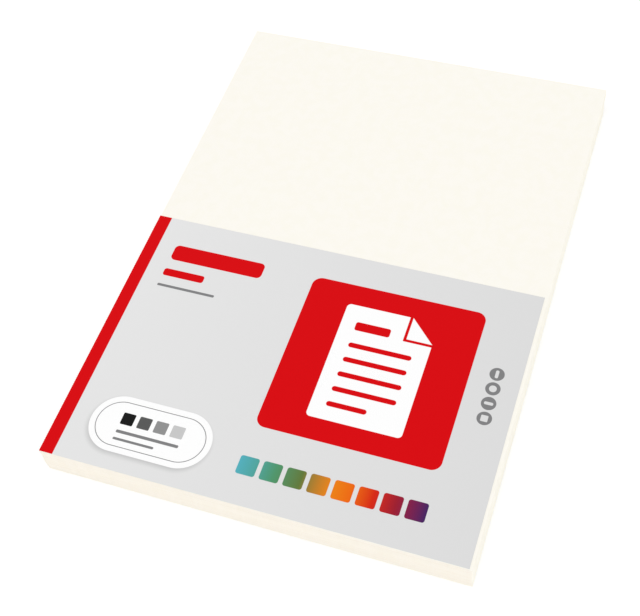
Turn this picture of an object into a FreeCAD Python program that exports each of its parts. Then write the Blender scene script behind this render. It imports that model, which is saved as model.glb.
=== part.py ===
import FreeCAD, Part
import math
import os

# A pack of ivory copy paper: a block of A4 sheets with a printed cover label on the front half.
# Millimetres. The block lies flat, +X runs across it, +Y along it towards its back, +Z is up.
# The origin is under the middle of the block, on the surface that the pack lies on.

# One sheet, and how many there are
sheet_width = 210.0
sheet_length = 297.0
sheet_thickness = 0.185
sheet_count = 100

# How the sheets lie after the block was knocked straight
lean_across = 0.12
lean_along = 0.15
lean_sheets = 64.0
stray = 0.06
stray_turn = math.radians(137.5)
slip_step = 0.03

# The lowest sheets draw in a little, as if the block had been set down and pushed back
draw_in = 0.24
draw_in_sheets = 8

# The cover label, flush with the front and left of the block and a little narrower than the sheets
label_inset = 1.5
label_depth = 148.0
label_thickness = 0.25
label_overhang = 0.3

# Worked out from the sizes above
block_height = sheet_count * sheet_thickness
front = -sheet_length / 2
left = -sheet_width / 2
label_width = sheet_width - label_inset


def slip(layer, lean, phase):
    """How far a sheet lies off the middle of the block, in whole steps."""
    slow = lean * math.sin(2 * math.pi * layer / lean_sheets + phase)
    quick = stray * math.sin(stray_turn * layer + phase)
    low = draw_in * max(0.0, 1 - layer / draw_in_sheets) ** 2
    return slip_step * round((slow + quick + low) / slip_step)


def stepped_profile(half, slips):
    """The outline of the block seen end on, as (place, height) points round it."""
    right_side = []
    left_side = []
    for layer, shift in enumerate(slips):
        bottom = layer * sheet_thickness
        top = (layer + 1) * sheet_thickness
        right_side += [(shift + half, bottom), (shift + half, top)]
        left_side += [(shift - half, bottom), (shift - half, top)]
    outline = right_side + left_side[::-1]
    return [p for p, following in zip(outline, outline[1:] + outline[:1]) if p != following]


def paper_stack():
    """All the sheets as one block, with each sheet's own edge on the four sides."""
    across = [slip(layer, lean_across, 0.0) for layer in range(sheet_count)]
    along = [slip(layer, lean_along, math.pi / 3) for layer in range(sheet_count)]
    reach = 2 * (sheet_width + sheet_length)

    end_view = [FreeCAD.Vector(x, -reach / 2, z) for x, z in stepped_profile(sheet_width / 2, across)]
    side_view = [FreeCAD.Vector(-reach / 2, y, z) for y, z in stepped_profile(sheet_length / 2, along)]
    bar_along = Part.Face(Part.makePolygon(end_view + end_view[:1])).extrude(FreeCAD.Vector(0, reach, 0))
    bar_across = Part.Face(Part.makePolygon(side_view + side_view[:1])).extrude(FreeCAD.Vector(reach, 0, 0))
    return bar_along.common(bar_across).Solids[0]


def cover_label():
    """The printed label, lying on the block and turned a touch about its front left corner."""
    corner = FreeCAD.Vector(left, front, block_height)
    label = Part.makeBox(label_width, label_depth, label_thickness, corner)
    turn = math.degrees(math.asin(label_overhang / label_depth))
    label.rotate(corner, FreeCAD.Vector(0, 0, 1), turn)
    return label


os.makedirs("parts", exist_ok=True)
for name, shape in (("paper_stack", paper_stack()), ("cover_label", cover_label())):
    shape.exportStep(f"parts/{name}.step")
    box = shape.BoundBox
    print(name, shape.isValid(), round(shape.Volume, 1), len(shape.Faces), box)
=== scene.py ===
import bisect
import math

import bpy
from mathutils import Matrix, Vector


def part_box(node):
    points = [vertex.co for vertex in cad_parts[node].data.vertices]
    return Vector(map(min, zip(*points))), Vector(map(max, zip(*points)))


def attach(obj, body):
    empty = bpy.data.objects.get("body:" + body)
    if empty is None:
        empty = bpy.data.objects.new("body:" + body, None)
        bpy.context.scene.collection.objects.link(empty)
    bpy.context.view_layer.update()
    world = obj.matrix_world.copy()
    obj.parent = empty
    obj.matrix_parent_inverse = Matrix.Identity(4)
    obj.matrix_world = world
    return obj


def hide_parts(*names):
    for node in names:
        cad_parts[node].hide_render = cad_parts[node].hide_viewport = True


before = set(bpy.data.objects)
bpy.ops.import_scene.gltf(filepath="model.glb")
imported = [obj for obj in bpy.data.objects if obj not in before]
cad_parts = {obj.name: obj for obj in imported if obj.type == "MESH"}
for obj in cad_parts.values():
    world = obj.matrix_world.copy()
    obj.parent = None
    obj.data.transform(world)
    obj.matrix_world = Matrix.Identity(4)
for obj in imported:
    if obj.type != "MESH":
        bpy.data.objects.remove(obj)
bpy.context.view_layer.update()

# A pack of ivory copy paper with a printed cover label. MM turns millimetres into metres.
MM = 0.001
ACROSS = (1.0, 0.0, 0.0)
UP = (0.0, 0.0, 1.0)

# The block of sheets: the height and the depth of the shoulder at each sheet's rims, how many short
# edges its sides are divided into, and the depth and length of the waves along its cut edge
SHOULDER = 0.03 * MM
NOTCH = 0.045 * MM
LONG_SIDE_CUTS = 40
SHORT_SIDE_CUTS = 28
EDGE_RIPPLE = 0.08 * MM
EDGE_RIPPLE_SPREAD = (38 * MM, 38 * MM, 0.5 * MM)

# The cover label: how thick its paper is, how wide the squares of its mesh are, and the depth and
# length of the waves that it lies in
LABEL_PAPER = 0.15 * MM
LABEL_SQUARE = 6 * MM
LABEL_RIPPLE = 0.09 * MM
LABEL_RIPPLE_SPREAD = (70 * MM, 70 * MM, 70 * MM)

# Where the top and the underside lie on a piece's own map, as (left, bottom, right, top)
MAP_EDGE = 0.006
BLOCK_MAP = {
    "top": (MAP_EDGE, 0.30, 0.5 - MAP_EDGE, 1 - MAP_EDGE),
    "under": (0.5 + MAP_EDGE, 0.30, 1 - MAP_EDGE, 1 - MAP_EDGE),
}
LABEL_MAP = {
    "top": (MAP_EDGE, 0.30, 1 - MAP_EDGE, 1 - MAP_EDGE),
    "under": (MAP_EDGE, 0.14, 1 - MAP_EDGE, 0.28),
}

# The four upright sides lie below them, as strips of this height
BLOCK_STRIP = 0.065
LABEL_STRIP = 0.02

# The grain of the papers: how large their clouds, streaks, knife marks, tooth and sheen are
CLOUD = 6 * MM
STREAK = (160 * MM, 160 * MM, 1.3 * MM)
KNIFE_MARK = (1.6 * MM, 1.6 * MM, 60 * MM)
KNIFE_SHARE = 0.25
SHEET_TOOTH = 0.35 * MM
LABEL_TOOTH = 0.5 * MM
LABEL_SHEEN = 14 * MM

# How rough the papers are at least, and how much their tooth and sheen add to it
SHEET_ROUGHNESS = 0.72
SHEET_TOOTH_ADDS = 0.16
LABEL_ROUGHNESS = 0.44
LABEL_TOOTH_ADDS = 0.08
LABEL_SHEEN_ADDS = 0.06

# How deep the tooth is, and what share of that depth the clouds of the sheets have
SHEET_RELIEF = 0.02 * MM
LABEL_RELIEF = 0.01 * MM
CLOUD_RELIEF = 0.5

# The studio: even light all round, and two broad suns
AMBIENT = 0.760
KEY_SUN = {"comes_from": (-0.38, -0.60, 1.0), "strength": 0.60, "softness": math.radians(50)}
RIGHT_SUN = {"comes_from": (0.95, -0.05, 0.45), "strength": 0.62, "softness": math.radians(50)}

# The floor, whose glow shows only to the camera and in reflections
FLOOR_SIZE = 30.0
FLOOR_DROP = 0.05 * MM
FLOOR_WHITE = 0.90
FLOOR_GLOW = 0.20

# The photograph's camera
IMAGE_WIDTH = 640
FOCAL_PIXELS = 1188.0
SENSOR = 36.0
CAMERA_PLACE = Vector((146.2, -346.4, 503.2)) * MM
CAMERA_AIM = Vector((-8.3, -23.4, 0.0)) * MM
CAMERA_ROLL = math.radians(-8.4)


def srgb(red, green, blue):
    """A screen colour of 0 to 255 as the linear colour that a socket takes."""

    def linear(part):
        part = part / 255
        return part / 12.92 if part <= 0.04045 else ((part + 0.055) / 1.055) ** 2.4

    return (linear(red), linear(green), linear(blue), 1.0)


def neutral(level):
    """A colour without a tint, from 0 for black to 1 for white."""
    return (level, level, level, 1.0)


# Paper colours. The deep ones are those of the clouds and streaks, and the label's core shows at its
# edges and underneath.
SHEET_FACE = srgb(253, 250, 242)
SHEET_FACE_DEEP = srgb(252, 249, 239)
# The short cut edges carry painted shade, darker and warmer, and the long ones painted light, paler
SHADED_SHORT_EDGE = srgb(253, 247, 237)
SHADED_SHORT_EDGE_DEEP = srgb(247, 238, 225)
LIT_LONG_EDGE = srgb(254, 254, 249)
LIT_LONG_EDGE_DEEP = srgb(250, 247, 237)
LABEL_WHITE = srgb(254, 254, 254)
LABEL_CORE = srgb(242, 241, 238)

# Ink colours. The label's grey field goes from GREY_LEFT to a darker grey at its right side, which is
# painted shade
GREY_LEFT = srgb(230, 230, 230)
GREY_RIGHT_SHADED = srgb(221, 221, 221)
INK_RED = srgb(217, 6, 14)
INK_GREY = srgb(130, 130, 131)
PATCH_SHADE = srgb(120, 120, 120)
PATCH_TONES = (srgb(27, 27, 27), srgb(90, 90, 90), srgb(146, 146, 146), srgb(200, 200, 200))
RAINBOW = (
    (0.0, srgb(84, 176, 190)),
    (0.2, srgb(80, 150, 108)),
    (0.34, srgb(98, 122, 60)),
    (0.5, srgb(236, 132, 20)),
    (0.6, srgb(238, 108, 17)),
    (0.72, srgb(216, 42, 18)),
    (0.84, srgb(158, 30, 48)),
    (1.0, srgb(66, 36, 98)),
)

# The label's print is measured in millimetres from its front left corner, across and then back.
# A shape's low is how far its front side lies from the label's, and PRINT_SOFT is how wide a soft
# rim its print has.
PRINT_SOFT = 0.16
STRIP_WIDTH = 7.0
LEFT_MARGIN = 16.5

# The bars at the back left start at the margin, each as (low, length, height, rounding)
RED_BARS = ((122.0, 50.5, 9.6, 2.6), (111.5, 22.5, 4.5, 1.4))
GREY_BAR = (104.6, 31.5, 1.5, 0.6)

# The panel, as its front left and back right corners, and the page in the middle of it
PANEL = ((94.0, 41.0), (184.0, 131.0))
PANEL_ROUNDING = 5.0
PAGE_SIZE = (47.0, 66.6)
PAGE_ROUNDING = 2.2
PAGE_FOLD = 13.0
PAGE_CREASE = 1.5
CREASE_ROUNDING = 0.4
CREASE_EXTRA = 1.0
PAGE_MARGIN = 7.5
PAGE_HEADING = (18.0, 5.0)
HEADING_ROUNDING = 1.2
PAGE_LINES = 5
PAGE_LINE_HEIGHT = 2.8
PAGE_LINE_STEP = 8.6
LAST_LINE_SHORTER = 12.0

# The row of swatches, as long as the panel is wide
SWATCHES = 8
SWATCH_LOW = 15.0
SWATCH_HEIGHT = 9.6
SWATCH_GAP = 2.2
SWATCH_ROUNDING = 1.2

# The column of buttons, each with its mark as (width, height, rounding)
BUTTON_COLUMN = 196.5
BUTTON_LOWEST = 73.6
BUTTON_STEP = 8.3
BUTTON_RADIUS = 3.6
BUTTON_MARKS = ((3.4, 3.4, 0.4), (4.4, 1.6, 0.7), (3.6, 3.6, 1.7), (1.6, 4.4, 0.7))

# The patch with its round ends, frame, row of tones and two bars, each as (low, length, height)
PATCH_LOW = 9.0
PATCH_SIZE = (62.0, 30.0)
PATCH_MARGIN = 3.0
FRAME_LINE = 0.4
TONE_LOW = 24.0
TONE_SIZE = 6.4
TONE_GAP = 2.2
PATCH_BARS = ((19.2, 32.2, 1.6), (15.4, 21.1, 1.3))
PATCH_ROUNDING = 0.6
SHADOW_SHIFT = (-0.3, -1.2)
SHADOW_SOFT = 4.5
SHADOW_DEPTH = 0.4


class Value:
    """One socket of a tree's nodes. A sum written with it becomes Math nodes."""

    def __init__(self, nodes, socket):
        self.nodes = nodes
        self.socket = socket

    def math(self, operation, *terms):
        return self.nodes.node("Math", {"operation": operation}, dict(enumerate(terms)))

    def __add__(self, other):
        return self.math("ADD", self, other)

    def __sub__(self, other):
        return self.math("SUBTRACT", self, other)

    def __rsub__(self, other):
        return self.math("SUBTRACT", other, self)

    def __mul__(self, other):
        return self.math("MULTIPLY", self, other)

    def __abs__(self):
        return self.math("ABSOLUTE", self)

    def __or__(self, other):
        return self.math("MAXIMUM", self, other)

    __radd__ = __add__
    __rmul__ = __mul__


class Nodes:
    """A node tree in the making, and the one shader that its nodes feed."""

    def __init__(self, owner, shader, **constants):
        owner.use_nodes = True
        self.tree = owner.node_tree
        self.shader = self.tree.nodes[shader]
        for socket, value in constants.items():
            self.shader.inputs[socket.replace("_", " ")].default_value = value

    def node(self, kind, settings=None, inputs=None, output=0):
        """Adds one node: first its settings, then its inputs. Returns one output as a Value."""
        made = self.tree.nodes.new("ShaderNode" + kind)
        for name, setting in (settings or {}).items():
            if name == "stops":
                self.set_stops(made.color_ramp.elements, setting)
            else:
                setattr(made, name, setting)
        for name, value in (inputs or {}).items():
            if isinstance(value, Value):
                self.tree.links.new(value.socket, made.inputs[name])
            else:
                made.inputs[name].default_value = value
        return Value(self, made.outputs[output])

    @staticmethod
    def set_stops(elements, stops):
        """Gives a colour ramp its stops, in order."""
        while len(elements) < len(stops):
            elements.new(1.0)
        for element, (place, colour) in zip(elements, stops):
            element.position = place
            element.color = colour

    def feed(self, socket, value):
        """Links a value to one of the shader's inputs."""
        self.tree.links.new(value.socket, self.shader.inputs[socket])

    def vector(self, operation, *terms, output=0):
        return self.node("VectorMath", {"operation": operation}, dict(enumerate(terms)), output)

    def blend(self, factor, first, second):
        """first where the factor is 0, second where it is 1. A Mix node's colours are sockets 6 and 7."""
        return self.node("Mix", {"data_type": "RGBA"}, {0: factor, 6: first, 7: second}, output=2)

    def ramp(self, value, begins, ends, low=0.0, high=1.0):
        """Goes smoothly from low, where the value is at begins, to high, where it is at ends."""
        settings = {"interpolation_type": "SMOOTHSTEP"}
        return self.node("MapRange", settings, {0: value, 1: begins, 2: ends, 3: low, 4: high})


class Finish(Nodes):
    """A material in the making."""

    def __init__(self, name, **constants):
        self.material = bpy.data.materials.new(name)
        super().__init__(self.material, "Principled BSDF", **constants)

    def place(self):
        """The point on the piece, in metres."""
        return self.node("TexCoord", output="Object")

    def noise(self, place, size, detail=3.0, roughness=0.5):
        """Soft random spots, each about this size across. size is one length, or one for each axis."""
        lengths = size if isinstance(size, tuple) else (size, size, size)
        inputs = {"Scale": 1.0, "Detail": detail, "Roughness": roughness}
        inputs["Vector"] = self.vector("DIVIDE", place, lengths)
        return self.node("TexNoise", {}, inputs)

    def facing(self, direction):
        """1 on a face that looks this way, 0 on one that looks across it and -1 on one that looks away."""
        normal = self.node("NewGeometry", output="Normal")
        return self.vector("DOT_PRODUCT", normal, direction, output="Value")

    def bump(self, height, distance, strength):
        return self.node("Bump", {}, {"Height": height, "Distance": distance, "Strength": strength})


class Print(Finish):
    """A printed finish, whose shapes are drawn in millimetres on the label."""

    def __init__(self, name, corner, turn, **constants):
        super().__init__(name, **constants)
        from_corner = {"Location": corner, "Rotation": (0, 0, turn), "Scale": (MM, MM, MM)}
        inputs = {"Vector": self.place(), **from_corner}
        on_label = self.node("Mapping", {"vector_type": "TEXTURE"}, inputs)
        self.spot = self.vector("MULTIPLY", on_label, (1.0, 1.0, 0.0))

    def inside(self, distance, soft=PRINT_SOFT):
        """1 where a distance is below zero, with the soft rim that print has."""
        return self.ramp(distance, soft / 2, -soft / 2)

    def box(self, corners, rounding, soft=PRINT_SOFT):
        """A rectangle between two corners, with its corners rounded."""
        width, height = size_of(corners)
        half = (width / 2 - rounding, height / 2 - rounding, 1.0)
        away = self.vector("ABSOLUTE", self.vector("SUBTRACT", self.spot, (*middle_of(corners), 0.0)))
        outside = self.vector("MAXIMUM", self.vector("SUBTRACT", away, half), (0.0, 0.0, 0.0))
        return self.inside(self.vector("LENGTH", outside, output="Value") - rounding, soft)

    def disc(self, centre, radius):
        away = self.vector("DISTANCE", self.spot, (*centre, 0.0), output="Value")
        return self.inside(away - radius)

    def outline(self, corners, line, rounding):
        """A line of this width along the inside of a rectangle."""
        inner = grown(corners, -line)
        return self.box(corners, rounding) * (1 - self.box(inner, rounding - line))

    def beyond(self, point, direction):
        """1 past the straight line through a point, on the side that the direction looks to."""
        along = self.vector("DOT_PRODUCT", self.spot, (*direction, 0.0), output="Value")
        reach = point[0] * direction[0] + point[1] * direction[1]
        return self.inside(reach - along)

    def across(self, low, high):
        """Goes evenly from 0 to 1 between two places across the label."""
        return (self.node("SeparateXYZ", {}, {0: self.spot}) - low) * (1 / (high - low))


def rectangle(left, low, width, height):
    """The corners of a rectangle, from its front left one and its size."""
    return (left, low), (left + width, low + height)


def around(centre, width, height):
    """The corners of a rectangle round a centre."""
    return rectangle(centre[0] - width / 2, centre[1] - height / 2, width, height)


def middle_of(corners):
    (left, low), (right, high) = corners
    return (left + right) / 2, (low + high) / 2


def size_of(corners):
    (left, low), (right, high) = corners
    return right - left, high - low


def grown(corners, growth):
    """A rectangle's corners with every side moved outwards."""
    width, height = size_of(corners)
    return around(middle_of(corners), width + 2 * growth, height + 2 * growth)


def divided(corners, count, gap):
    """Splits a rectangle into as many side by side, with gaps between them."""
    (left, low), _ = corners
    total, height = size_of(corners)
    width = (total - gap * (count - 1)) / count
    return [rectangle(left + place * (width + gap), low, width, height) for place in range(count)]


def ivory_paper():
    """Smooth uncoated ivory paper, streaky on the cut edges and warmer on the short ones, which is painted
    shade, with painted light on the long ones.
    """
    finish = Finish("ivory paper", Specular_IOR_Level=0.1)
    place = finish.place()

    clouds = finish.noise(place, CLOUD, detail=5.0, roughness=0.62)
    face = finish.blend(finish.ramp(clouds, begins=0.36, ends=0.66), SHEET_FACE, SHEET_FACE_DEEP)

    bands = finish.noise(place, STREAK, detail=4.0, roughness=0.7)
    knife = finish.noise(place, KNIFE_MARK, detail=3.0, roughness=0.6)
    marks = bands * (1 - KNIFE_SHARE) + knife * KNIFE_SHARE
    streaks = finish.ramp(marks, begins=0.40, ends=0.66)
    # Painted shade on the short cut edges and painted light on the long ones: a shaded and a lit copy of
    # one paper
    shaded_short_edge = finish.blend(streaks, SHADED_SHORT_EDGE, SHADED_SHORT_EDGE_DEEP)
    lit_long_edge = finish.blend(streaks, LIT_LONG_EDGE, LIT_LONG_EDGE_DEEP)
    on_lit_long_edge = finish.ramp(abs(finish.facing(ACROSS)), begins=0.3, ends=0.7)
    edge = finish.blend(on_lit_long_edge, shaded_short_edge, lit_long_edge)
    on_edge = finish.ramp(abs(finish.facing(UP)), begins=0.9, ends=0.65)
    finish.feed("Base Color", finish.blend(on_edge, face, edge))

    tooth = finish.noise(place, SHEET_TOOTH, detail=4.0, roughness=0.6)
    finish.feed("Roughness", SHEET_ROUGHNESS + tooth * SHEET_TOOTH_ADDS)
    relief = tooth + clouds * CLOUD_RELIEF
    finish.feed("Normal", finish.bump(relief, distance=SHEET_RELIEF, strength=0.5))
    return finish.material


def margin_bar(ink, low, length, height, rounding):
    """A bar that starts at the left margin."""
    return ink.box(rectangle(LEFT_MARGIN, low, length, height), rounding)


def red_shapes(ink, field):
    """Adds the strip down the left side, the panel and the two red bars."""
    red = ink.beyond((STRIP_WIDTH, 0.0), (-1.0, 0.0)) | ink.box(PANEL, PANEL_ROUNDING)
    for bar in RED_BARS:
        red = red | margin_bar(ink, *bar)
    return ink.blend(red, field, INK_RED)


def white_page(ink, field):
    """Adds a plain upright page with a folded corner, a heading bar and ruled lines."""
    page = around(middle_of(PANEL), *PAGE_SIZE)
    (left, low), (right, high) = page
    fold_left, fold_low = right - PAGE_FOLD, high - PAGE_FOLD
    cut = ink.beyond((fold_left, high), (math.sqrt(0.5), math.sqrt(0.5)))

    # The creases run past the page's edges, so that only their inner corner is rounded
    crease_left, crease_low = fold_left - PAGE_CREASE, fold_low - PAGE_CREASE
    upright = ((crease_left, crease_low), (fold_left, high + CREASE_EXTRA))
    level = ((crease_left, crease_low), (right + CREASE_EXTRA, fold_low))
    lines = ink.box(upright, CREASE_ROUNDING) | ink.box(level, CREASE_ROUNDING)

    start, width = left + PAGE_MARGIN, right - left - 2 * PAGE_MARGIN
    lines = lines | ink.box(rectangle(start, crease_low, *PAGE_HEADING), HEADING_ROUNDING)
    for count in range(PAGE_LINES):
        length = width - LAST_LINE_SHORTER if count == 0 else width
        line_low = low + PAGE_MARGIN + count * PAGE_LINE_STEP
        line = rectangle(start, line_low, length, PAGE_LINE_HEIGHT)
        lines = lines | ink.box(line, PAGE_LINE_HEIGHT / 2)
    return ink.blend(ink.box(page, PAGE_ROUNDING) * (1 - cut) * (1 - lines), field, LABEL_WHITE)


def grey_bar(ink, field):
    """Adds the thin bar below the red ones."""
    return ink.blend(margin_bar(ink, *GREY_BAR), field, INK_GREY)


def swatch_row(ink, field):
    """Adds the row of swatches, which go through the rainbow from left to right."""
    (left, _), (right, _) = PANEL
    row = rectangle(left, SWATCH_LOW, right - left, SWATCH_HEIGHT)
    rainbow = ink.node("ValToRGB", {"stops": RAINBOW}, {0: ink.across(left, right)})
    for swatch in divided(row, SWATCHES, SWATCH_GAP):
        field = ink.blend(ink.box(swatch, SWATCH_ROUNDING), field, rainbow)
    return field


def round_buttons(ink, field):
    """Adds the column of buttons, each with its mark left bare."""
    for count, (width, height, rounding) in enumerate(BUTTON_MARKS):
        centre = (BUTTON_COLUMN, BUTTON_LOWEST + count * BUTTON_STEP)
        mark = ink.box(around(centre, width, height), rounding)
        field = ink.blend(ink.disc(centre, BUTTON_RADIUS) * (1 - mark), field, INK_GREY)
    return field


def white_patch(ink, field):
    """Adds the patch on its soft shadow, with its frame, tones and bars."""
    width, height = PATCH_SIZE
    across, along = SHADOW_SHIFT
    patch = rectangle(LEFT_MARGIN, PATCH_LOW, width, height)
    shadow = rectangle(LEFT_MARGIN + across, PATCH_LOW + along, width, height)
    field = ink.blend(ink.box(shadow, height / 2, SHADOW_SOFT) * SHADOW_DEPTH, field, PATCH_SHADE)
    field = ink.blend(ink.box(patch, height / 2), field, LABEL_WHITE)
    frame_line = ink.outline(grown(patch, -PATCH_MARGIN), FRAME_LINE, height / 2 - PATCH_MARGIN)
    field = ink.blend(frame_line, field, INK_GREY)

    row_width = len(PATCH_TONES) * (TONE_SIZE + TONE_GAP) - TONE_GAP
    start = LEFT_MARGIN + (width - row_width) / 2
    row = rectangle(start, TONE_LOW, row_width, TONE_SIZE)
    for square, tone in zip(divided(row, len(PATCH_TONES), TONE_GAP), PATCH_TONES):
        field = ink.blend(ink.box(square, PATCH_ROUNDING), field, tone)
    for low, length, thickness in PATCH_BARS:
        bar = ink.box(rectangle(start, low, length, thickness), PATCH_ROUNDING)
        field = ink.blend(bar, field, INK_GREY)
    return field


def printed_label(corner, turn, width):
    """The label's satin paper, and its print on a grey field that painted shade darkens a little to the
    right.
    """
    ink = Print("printed label", corner, turn, Specular_IOR_Level=0.05)
    # The grey print darkens towards the right with painted shade
    field = ink.blend(ink.across(0.0, width / MM), GREY_LEFT, GREY_RIGHT_SHADED)
    for shapes in (red_shapes, white_page, grey_bar, swatch_row, round_buttons, white_patch):
        field = shapes(ink, field)
    printed = ink.ramp(ink.facing(UP), begins=0.5, ends=0.7)
    ink.feed("Base Color", ink.blend(printed, LABEL_CORE, field))

    place = ink.place()
    tooth = ink.noise(place, LABEL_TOOTH)
    sheen = ink.noise(place, LABEL_SHEEN, detail=2.0)
    ink.feed("Roughness", LABEL_ROUGHNESS + tooth * LABEL_TOOTH_ADDS + sheen * LABEL_SHEEN_ADDS)
    ink.feed("Normal", ink.bump(tooth, distance=LABEL_RELIEF, strength=0.4))
    return ink.material


def sheet_places(node):
    """Reads the heights between the sheets, their middles and their size from the solid's sides."""
    mesh = node.data
    heights = sorted({round(v.co.z, 6) for v in mesh.vertices})
    sides = [{} for _ in heights[1:]]
    for face in mesh.polygons:
        across, along, up = face.normal
        if abs(up) > 0.5:
            continue
        layer = bisect.bisect(heights, face.center.z) - 1
        axis = 0 if abs(across) > abs(along) else 1
        sides[layer][axis, face.normal[axis] > 0] = face.center[axis]
    middles = [((s[0, True] + s[0, False]) / 2, (s[1, True] + s[1, False]) / 2) for s in sides]
    size = (sides[0][0, True] - sides[0][0, False], sides[0][1, True] - sides[0][1, False])
    return heights, middles, size


def deselect_all():
    bpy.ops.object.select_all(action="DESELECT")


def select_where(mesh, wanted):
    """In edit mode, selects the vertices whose place is wanted."""
    bpy.ops.mesh.select_all(action="DESELECT")
    bpy.ops.object.mode_set(mode="OBJECT")
    for vertex in mesh.vertices:
        vertex.select = wanted(vertex.co)
    bpy.ops.object.mode_set(mode="EDIT")


def raise_ring(across, along, up):
    """Extrudes the selected ring of edges by this much."""
    bpy.ops.mesh.extrude_region_move(TRANSFORM_OT_translate={"value": (across, along, up)})


def widen_ring(middle, height, size, growth):
    """Makes the selected ring wider on every side by growth."""
    value = (1 + 2 * growth / size[0], 1 + 2 * growth / size[1], 1)
    bpy.ops.transform.resize(value=value, center_override=(*middle, height))


def apply_modifiers(piece):
    deselect_all()
    piece.select_set(True)
    bpy.context.view_layer.objects.active = piece
    for name in [m.name for m in piece.modifiers]:
        bpy.ops.object.modifier_apply(modifier=name)


def ripple(piece, name, depth, spread):
    """Moves a piece's surface inwards by up to depth, in soft random waves about as long as spread."""
    waves = bpy.data.textures.new(name, "CLOUDS")
    waves.noise_scale = 1.0
    waves.noise_depth = 1
    bpy.ops.object.empty_add(location=(0, 0, 0))
    ruler = bpy.context.object
    ruler.scale = spread
    bpy.context.view_layer.update()
    modifier = piece.modifiers.new(name, "DISPLACE")
    modifier.texture = waves
    modifier.texture_coords = "OBJECT"
    modifier.texture_coords_object = ruler
    modifier.mid_level = 1.0
    modifier.strength = depth
    apply_modifiers(piece)
    bpy.data.objects.remove(ruler)
    bpy.data.textures.remove(waves)


def side_of(face, low, high):
    """Which side of a flat block a face belongs to."""
    gaps = {
        "front": face.center.y - low.y,
        "back": high.y - face.center.y,
        "left": face.center.x - low.x,
        "right": high.x - face.center.x,
    }
    return min(gaps, key=gaps.get)


def lay_map(piece, places, strip, is_flat):
    """Lays a piece's faces out on its own map: top and underside as places, the sides as strips below."""
    mesh = piece.data
    low = Vector(min(v.co[axis] for v in mesh.vertices) for axis in range(3))
    high = Vector(max(v.co[axis] for v in mesh.vertices) for axis in range(3))
    size = high - low
    layer = mesh.uv_layers.new(name="OFBake")
    order = ("front", "back", "left", "right")
    for face in mesh.polygons:
        if is_flat(face):
            left, bottom, right, top = places["top" if face.normal.z > 0 else "under"]
            axes = (0, 1)
        else:
            side = side_of(face, low, high)
            row = order.index(side)
            left, right = MAP_EDGE, 1 - MAP_EDGE
            bottom = row * strip + MAP_EDGE / 2
            top = (row + 1) * strip - MAP_EDGE / 2
            axes = (0, 2) if side in ("front", "back") else (1, 2)
        for corner in face.loop_indices:
            point = mesh.vertices[mesh.loops[corner].vertex_index].co
            u, v = ((point[axis] - low[axis]) / size[axis] for axis in axes)
            layer.data[corner].uv = (left + u * (right - left), bottom + v * (top - bottom))


def lowest_ring(middle, height, size):
    """A ring of short edges round the lowest sheet, left in edit mode with all of it selected."""
    deselect_all()
    bpy.ops.mesh.primitive_grid_add(
        x_subdivisions=SHORT_SIDE_CUTS, y_subdivisions=LONG_SIDE_CUTS, size=1, location=(*middle, height)
    )
    ring = bpy.context.object
    ring.scale = (*size, 1)
    bpy.ops.object.transform_apply(location=True, rotation=True, scale=True)

    half_cut = size[0] / SHORT_SIDE_CUTS / 2
    reach = (size[0] / 2 - half_cut, size[1] / 2 - half_cut)
    bpy.ops.object.mode_set(mode="EDIT")
    select_where(ring.data, lambda p: abs(p.x - middle[0]) < reach[0] and abs(p.y - middle[1]) < reach[1])
    bpy.ops.mesh.delete(type="VERT")
    bpy.ops.mesh.select_all(action="SELECT")
    return ring


def paper_block():
    """The block of sheets, each with its own shoulders and slightly wavy cut edge."""
    heights, middles, size = sheet_places(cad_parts["paper_stack"])
    block = lowest_ring(middles[0], heights[0], size)
    block.name = "paper_block"
    block.data.name = "paper_block"

    # Each sheet rises in three steps: its lower shoulder, its cut edge and its upper shoulder, which
    # ends in a notch halfway between its place and the next sheet's
    widen_ring(middles[0], heights[0], size, -NOTCH)
    start = middles[0]
    for sheet, middle in enumerate(middles):
        bottom, top = heights[sheet], heights[sheet + 1]
        above = middles[min(sheet + 1, len(middles) - 1)]
        end = ((above[0] + middle[0]) / 2, (above[1] + middle[1]) / 2)
        raise_ring(middle[0] - start[0], middle[1] - start[1], SHOULDER)
        widen_ring(middle, bottom + SHOULDER, size, NOTCH)
        raise_ring(0, 0, top - bottom - 2 * SHOULDER)
        raise_ring(end[0] - middle[0], end[1] - middle[1], SHOULDER)
        widen_ring(end, top, size, -NOTCH)
        start = end
    bpy.ops.mesh.edge_face_add()
    near_floor = heights[0] + SHOULDER / 2
    near_top = heights[-1] - SHOULDER / 2
    select_where(block.data, lambda p: p.z < near_floor)
    bpy.ops.mesh.edge_face_add()
    bpy.ops.mesh.select_all(action="SELECT")
    bpy.ops.mesh.normals_make_consistent(inside=False)
    bpy.ops.object.mode_set(mode="OBJECT")

    # The ripple moves the rims of the underside and the top too, so these are made level again
    lowest = [v.index for v in block.data.vertices if v.co.z < near_floor]
    highest = [v.index for v in block.data.vertices if v.co.z > near_top]
    ripple(block, "wavy edges", EDGE_RIPPLE, EDGE_RIPPLE_SPREAD)
    for rim, height in ((lowest, heights[0]), (highest, heights[-1])):
        for index in rim:
            block.data.vertices[index].co.z = height

    # Only the top and the underside have more than four corners
    lay_map(block, BLOCK_MAP, BLOCK_STRIP, lambda face: len(face.vertices) > 4)
    block.data.materials.append(ivory_paper())
    return block


def label_place(node):
    """The label's front left corner, its turn, width and depth, read from its solid."""
    points = [v.co for v in node.data.vertices]
    corner = min(points, key=lambda p: p.x + p.y)
    right = max(points, key=lambda p: p.x - p.y)
    back = min(points, key=lambda p: p.x - p.y)
    across = (right - corner).xy
    return corner, math.atan2(across.y, across.x), across.length, (back - corner).xy.length


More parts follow.
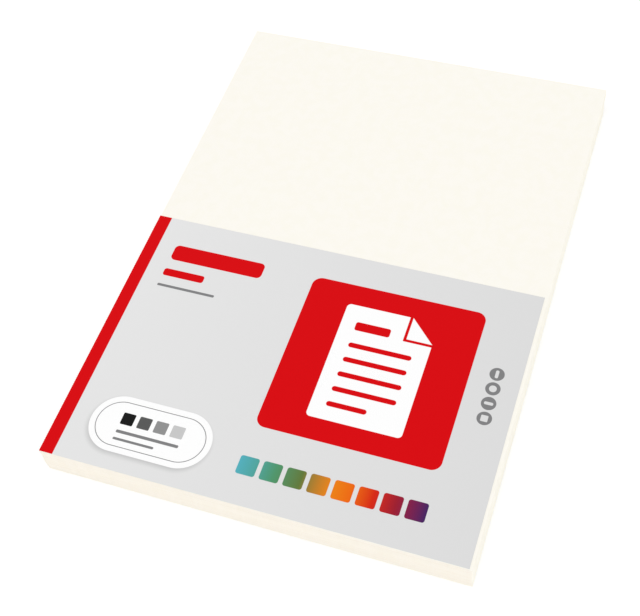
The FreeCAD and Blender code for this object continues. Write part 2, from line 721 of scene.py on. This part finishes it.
def cover_sheet():
    """The printed label: a thin sheet that lies almost flat on the block."""
    corner, turn, width, depth = label_place(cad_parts["cover_label"])
    _, top_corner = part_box("cover_label")
    deselect_all()
    bpy.ops.mesh.primitive_grid_add(
        x_subdivisions=round(width / LABEL_SQUARE), y_subdivisions=round(depth / LABEL_SQUARE), size=1
    )
    label = bpy.context.object
    label.name = "cover_sheet"
    label.data.name = "cover_sheet"
    to_centre = Matrix.Rotation(turn, 3, "Z") @ Vector((width / 2, depth / 2, 0))
    label.scale = (width, depth, 1)
    label.rotation_euler = (0, 0, turn)
    label.location = Vector((corner.x, corner.y, top_corner.z)) + to_centre
    bpy.ops.object.transform_apply(location=True, rotation=True, scale=True)

    ripple(label, "lie of the label", LABEL_RIPPLE, LABEL_RIPPLE_SPREAD)
    thickness = label.modifiers.new("paper", "SOLIDIFY")
    thickness.thickness = LABEL_PAPER
    thickness.offset = -1.0
    apply_modifiers(label)
    lay_map(label, LABEL_MAP, LABEL_STRIP, lambda face: abs(face.normal.z) > 0.5)
    label.data.materials.append(printed_label((corner.x, corner.y, 0.0), turn, width))
    return label


def floor():
    """A plain white floor that keeps the pack's shadow."""
    deselect_all()
    bpy.ops.mesh.primitive_plane_add(size=FLOOR_SIZE, location=(0, 0, -FLOOR_DROP))
    plane = bpy.context.object
    plane.name = "floor"
    finish = Finish(
        "white floor",
        Base_Color=neutral(FLOOR_WHITE),
        Roughness=0.9,
        Specular_IOR_Level=0.0,
        Emission_Strength=1.0,
    )
    to_camera = finish.node("LightPath", output="Is Camera Ray")
    in_gloss = finish.node("LightPath", output="Is Glossy Ray")
    finish.feed("Emission Color", finish.blend(to_camera | in_gloss, neutral(0.0), neutral(FLOOR_GLOW)))
    plane.data.materials.append(finish.material)


def sun(name, comes_from, strength, softness):
    """A broad soft light from one direction."""
    lamp = bpy.data.lights.new(name, "SUN")
    lamp.energy = strength
    lamp.angle = softness
    holder = bpy.data.objects.new(name, lamp)
    bpy.context.scene.collection.objects.link(holder)
    holder.rotation_euler = Vector(comes_from).to_track_quat("Z", "Y").to_euler()


def studio():
    """A white sky that the camera sees at full strength, a key light and a light from the right."""
    world = bpy.data.worlds.new("studio")
    bpy.context.scene.world = world
    sky = Nodes(world, "Background", Color=neutral(1.0))
    seen = sky.node("LightPath", output="Is Camera Ray")
    sky.feed("Strength", sky.ramp(seen, 0.0, 1.0, low=AMBIENT, high=1.0))
    sun("key light", **KEY_SUN)
    sun("right light", **RIGHT_SUN)


def camera():
    """The camera at the photograph's viewing angle."""
    lens = bpy.data.cameras.new("camera")
    lens.sensor_width = SENSOR
    lens.lens = FOCAL_PIXELS * SENSOR / IMAGE_WIDTH
    holder = bpy.data.objects.new("camera", lens)
    bpy.context.scene.collection.objects.link(holder)
    look = (CAMERA_AIM - CAMERA_PLACE).to_track_quat("-Z", "Y").to_matrix()
    roll = Matrix.Rotation(CAMERA_ROLL, 4, look @ Vector((0, 0, 1)))
    holder.matrix_world = Matrix.Translation(CAMERA_PLACE) @ roll @ look.to_4x4()
    bpy.context.scene.camera = holder


bpy.context.scene.view_settings.view_transform = "Standard"
camera()
studio()
floor()

block = paper_block()
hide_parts("paper_stack")
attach(block, "root")

label = cover_sheet()
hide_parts("cover_label")
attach(label, "root")
